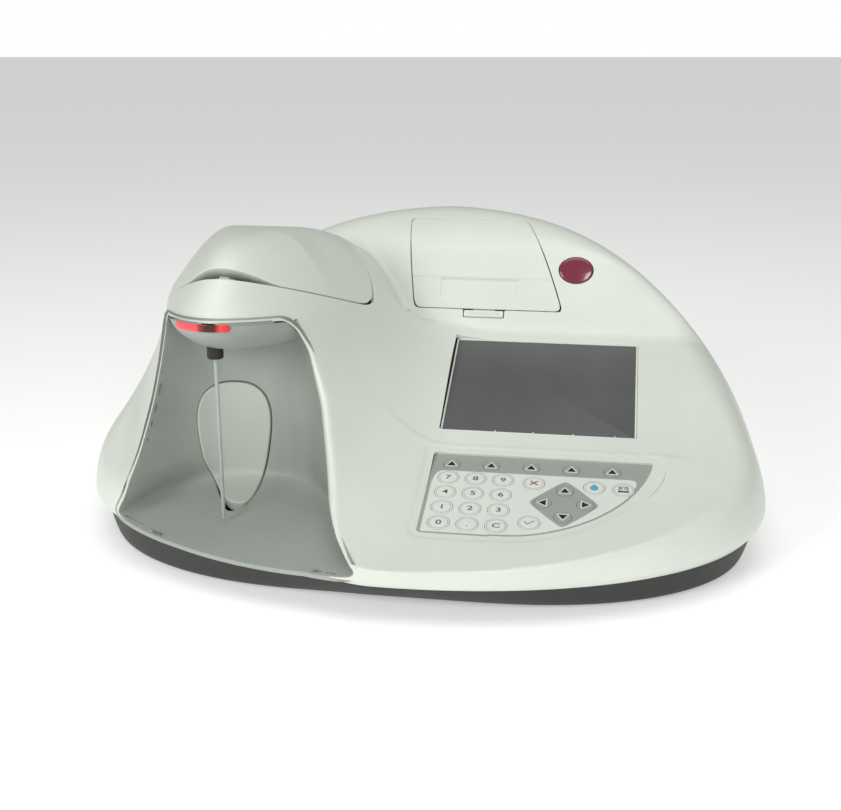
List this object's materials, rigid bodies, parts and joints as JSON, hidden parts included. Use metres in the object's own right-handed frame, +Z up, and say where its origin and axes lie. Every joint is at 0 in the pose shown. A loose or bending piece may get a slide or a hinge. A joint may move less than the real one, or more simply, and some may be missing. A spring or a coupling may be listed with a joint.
{
  "type": "bench-top wine analyser",
  "caption": "Rounded bench-top liquid analyser: overhanging head with aspiration needle over a sampling bay, sloped screen, membrane keypad and built-in strip printer under a lid.",
  "frame": {"origin": "middle of the footprint, on the surface that it stands on", "axes": "+X to the right as the user faces it, +Y to the back, +Z up"},
  "size_m": [0.424, 0.3498, 0.195],
  "materials": {
    "housing": "satin moulded off-white",
    "base": "fine texture, near black",
    "bay_grey": "satin grey",
    "button_grey": "satin light grey",
    "red_light": "lit red diffuser",
    "steel": "turned",
    "frame_plastic": "moulded grey",
    "clear": "polished",
    "module_black": "moulded black",
    "black": "moulded black",
    "needle": "translucent",
    "rotor_white": "moulded",
    "screen": "anti-glare window over a dark display",
    "overlay": "printed film",
    "board": "green board",
    "badge": "plain deep red enamel",
    "rubber": "moulded",
    "paper": "paper",
    "keys": "printed film keys"
  },
  "bodies": {
    "chassis": {"upper_housing": "housing", "base_tray": "base", "sample_bay_panel": "bay_grey", "nose_underside": "bay_grey", "light_bar": "red_light", "head_deck": "frame_plastic", "flow_cell": "clear", "lamp_module": "module_black", "detector_module": "module_black", "needle_hub": "black", "needle": "needle", "pump_body": "frame_plastic", "button_spring": "steel", "button_switch": "module_black", "display_window": "screen", "lcd_module": "module_black", "keypad_overlay": "overlay", "keypad_board": "board", "main_board": "board", "badge": "badge", "printer_frame": "frame_plastic", "power_inlet": "black", "waste_outlet": "black", "feet": "rubber", "case_screws": "steel"},
    "head_lid": {"head_cover": "housing", "head_cover_pin": "steel"},
    "printer_lid": {"printer_cover": "housing", "printer_cover_pin": "steel"},
    "latch": {"printer_latch": "housing"},
    "start_button": {"aspiration_button": "button_grey"},
    "rotor": {"pump_rotor": "rotor_white"},
    "platen": {"platen_roller": "rubber"},
    "roll": {"paper_roll": "paper"},
    "rocker": {"power_switch": "black"},
    "soft_key_1_cap": {"soft_key_1": "keys"},
    "soft_key_2_cap": {"soft_key_2": "keys"},
    "soft_key_3_cap": {"soft_key_3": "keys"},
    "soft_key_4_cap": {"soft_key_4": "keys"},
    "soft_key_5_cap": {"soft_key_5": "keys"},
    "key_7_cap": {"key_7": "keys"},
    "key_8_cap": {"key_8": "keys"},
    "key_9_cap": {"key_9": "keys"},
    "key_4_cap": {"key_4": "keys"},
    "key_5_cap": {"key_5": "keys"},
    "key_6_cap": {"key_6": "keys"},
    "key_1_cap": {"key_1": "keys"},
    "key_2_cap": {"key_2": "keys"},
    "key_3_cap": {"key_3": "keys"},
    "key_0_cap": {"key_0": "keys"},
    "key_dot_cap": {"key_dot": "keys"},
    "key_clear_cap": {"key_clear": "keys"},
    "key_cancel_cap": {"key_cancel": "keys"},
    "key_confirm_cap": {"key_confirm": "keys"},
    "key_wash_cap": {"key_wash": "keys"},
    "key_print_cap": {"key_print": "keys"},
    "arrow_up_cap": {"arrow_up": "keys"},
    "arrow_down_cap": {"arrow_down": "keys"},
    "arrow_left_cap": {"arrow_left": "keys"},
    "arrow_right_cap": {"arrow_right": "keys"}
  },
  "joints": [
    {"name": "head_cover_hinge", "type": "hinge", "parent": "chassis", "child": "head_lid", "pos_m": [-0.104, 0.031, 0.17384], "axis": [-1, 0, 0], "range_deg": [0, 70]},
    {"name": "printer_cover_hinge", "type": "hinge", "parent": "chassis", "child": "printer_lid", "pos_m": [0.018, 0.0895, 0.17899], "axis": [-1, 0, 0], "range_deg": [0, 65]},
    {"name": "printer_latch_push", "type": "slide", "parent": "chassis", "child": "latch", "axis": [0, 0.766, -0.6428], "range_m": [0, 0.0015], "stiffness_N_per_m": 600},
    {"name": "aspiration_push", "type": "slide", "parent": "chassis", "child": "start_button", "axis": [0, 1, 0], "range_m": [0, 0.0025], "stiffness_N_per_m": 500, "deforming": ["button_spring"]},
    {"name": "pump_spin", "type": "hinge", "parent": "chassis", "child": "rotor", "pos_m": [-0.108, 0.01, 0.078], "axis": [1, 0, 0], "continuous": true},
    {"name": "platen_spin", "type": "hinge", "parent": "chassis", "child": "platen", "pos_m": [0.018, 0.072, 0.143], "axis": [1, 0, 0], "continuous": true},
    {"name": "paper_spin", "type": "hinge", "parent": "chassis", "child": "roll", "pos_m": [0.018, 0.105, 0.15], "axis": [1, 0, 0], "continuous": true},
    {"name": "power_rocker", "type": "hinge", "parent": "chassis", "child": "rocker", "pos_m": [0.06, 0.1565, 0.067], "axis": [1, 0, 0], "range_deg": [-10, 10]},
    {"name": "soft_key_1_push", "type": "slide", "parent": "chassis", "child": "soft_key_1_cap", "axis": [0, 0.2756, -0.9613], "range_m": [0, 0.0005], "stiffness_N_per_m": 800},
    {"name": "soft_key_2_push", "type": "slide", "parent": "chassis", "child": "soft_key_2_cap", "axis": [0, 0.2756, -0.9613], "range_m": [0, 0.0005], "stiffness_N_per_m": 800},
    {"name": "soft_key_3_push", "type": "slide", "parent": "chassis", "child": "soft_key_3_cap", "axis": [0, 0.2756, -0.9613], "range_m": [0, 0.0005], "stiffness_N_per_m": 800},
    {"name": "soft_key_4_push", "type": "slide", "parent": "chassis", "child": "soft_key_4_cap", "axis": [0, 0.2756, -0.9613], "range_m": [0, 0.0005], "stiffness_N_per_m": 800},
    {"name": "soft_key_5_push", "type": "slide", "parent": "chassis", "child": "soft_key_5_cap", "axis": [0, 0.2756, -0.9613], "range_m": [0, 0.0005], "stiffness_N_per_m": 800},
    {"name": "key_7_push", "type": "slide", "parent": "chassis", "child": "key_7_cap", "axis": [0, 0.2756, -0.9613], "range_m": [0, 0.0005], "stiffness_N_per_m": 800},
    {"name": "key_8_push", "type": "slide", "parent": "chassis", "child": "key_8_cap", "axis": [0, 0.2756, -0.9613], "range_m": [0, 0.0005], "stiffness_N_per_m": 800},
    {"name": "key_9_push", "type": "slide", "parent": "chassis", "child": "key_9_cap", "axis": [0, 0.2756, -0.9613], "range_m": [0, 0.0005], "stiffness_N_per_m": 800},
    {"name": "key_4_push", "type": "slide", "parent": "chassis", "child": "key_4_cap", "axis": [0, 0.2756, -0.9613], "range_m": [0, 0.0005], "stiffness_N_per_m": 800},
    {"name": "key_5_push", "type": "slide", "parent": "chassis", "child": "key_5_cap", "axis": [0, 0.2756, -0.9613], "range_m": [0, 0.0005], "stiffness_N_per_m": 800},
    {"name": "key_6_push", "type": "slide", "parent": "chassis", "child": "key_6_cap", "axis": [0, 0.2756, -0.9613], "range_m": [0, 0.0005], "stiffness_N_per_m": 800},
    {"name": "key_1_push", "type": "slide", "parent": "chassis", "child": "key_1_cap", "axis": [0, 0.2756, -0.9613], "range_m": [0, 0.0005], "stiffness_N_per_m": 800},
    {"name": "key_2_push", "type": "slide", "parent": "chassis", "child": "key_2_cap", "axis": [0, 0.2756, -0.9613], "range_m": [0, 0.0005], "stiffness_N_per_m": 800},
    {"name": "key_3_push", "type": "slide", "parent": "chassis", "child": "key_3_cap", "axis": [0, 0.2756, -0.9613], "range_m": [0, 0.0005], "stiffness_N_per_m": 800},
    {"name": "key_0_push", "type": "slide", "parent": "chassis", "child": "key_0_cap", "axis": [0, 0.2756, -0.9613], "range_m": [0, 0.0005], "stiffness_N_per_m": 800},
    {"name": "key_dot_push", "type": "slide", "parent": "chassis", "child": "key_dot_cap", "axis": [0, 0.2756, -0.9613], "range_m": [0, 0.0005], "stiffness_N_per_m": 800},
    {"name": "key_clear_push", "type": "slide", "parent": "chassis", "child": "key_clear_cap", "axis": [0, 0.2756, -0.9613], "range_m": [0, 0.0005], "stiffness_N_per_m": 800},
    {"name": "key_cancel_push", "type": "slide", "parent": "chassis", "child": "key_cancel_cap", "axis": [0, 0.2756, -0.9613], "range_m": [0, 0.0005], "stiffness_N_per_m": 800},
    {"name": "key_confirm_push", "type": "slide", "parent": "chassis", "child": "key_confirm_cap", "axis": [0, 0.2756, -0.9613], "range_m": [0, 0.0005], "stiffness_N_per_m": 800},
    {"name": "key_wash_push", "type": "slide", "parent": "chassis", "child": "key_wash_cap", "axis": [0, 0.2756, -0.9613], "range_m": [0, 0.0005], "stiffness_N_per_m": 800},
    {"name": "key_print_push", "type": "slide", "parent": "chassis", "child": "key_print_cap", "axis": [0, 0.2756, -0.9613], "range_m": [0, 0.0005], "stiffness_N_per_m": 800},
    {"name": "arrow_up_push", "type": "slide", "parent": "chassis", "child": "arrow_up_cap", "axis": [0, 0.2756, -0.9613], "range_m": [0, 0.0005], "stiffness_N_per_m": 800},
    {"name": "arrow_down_push", "type": "slide", "parent": "chassis", "child": "arrow_down_cap", "axis": [0, 0.2756, -0.9613], "range_m": [0, 0.0005], "stiffness_N_per_m": 800},
    {"name": "arrow_left_push", "type": "slide", "parent": "chassis", "child": "arrow_left_cap", "axis": [0, 0.2756, -0.9613], "range_m": [0, 0.0005], "stiffness_N_per_m": 800},
    {"name": "arrow_right_push", "type": "slide", "parent": "chassis", "child": "arrow_right_cap", "axis": [0, 0.2756, -0.9613], "range_m": [0, 0.0005], "stiffness_N_per_m": 800}
  ]
}
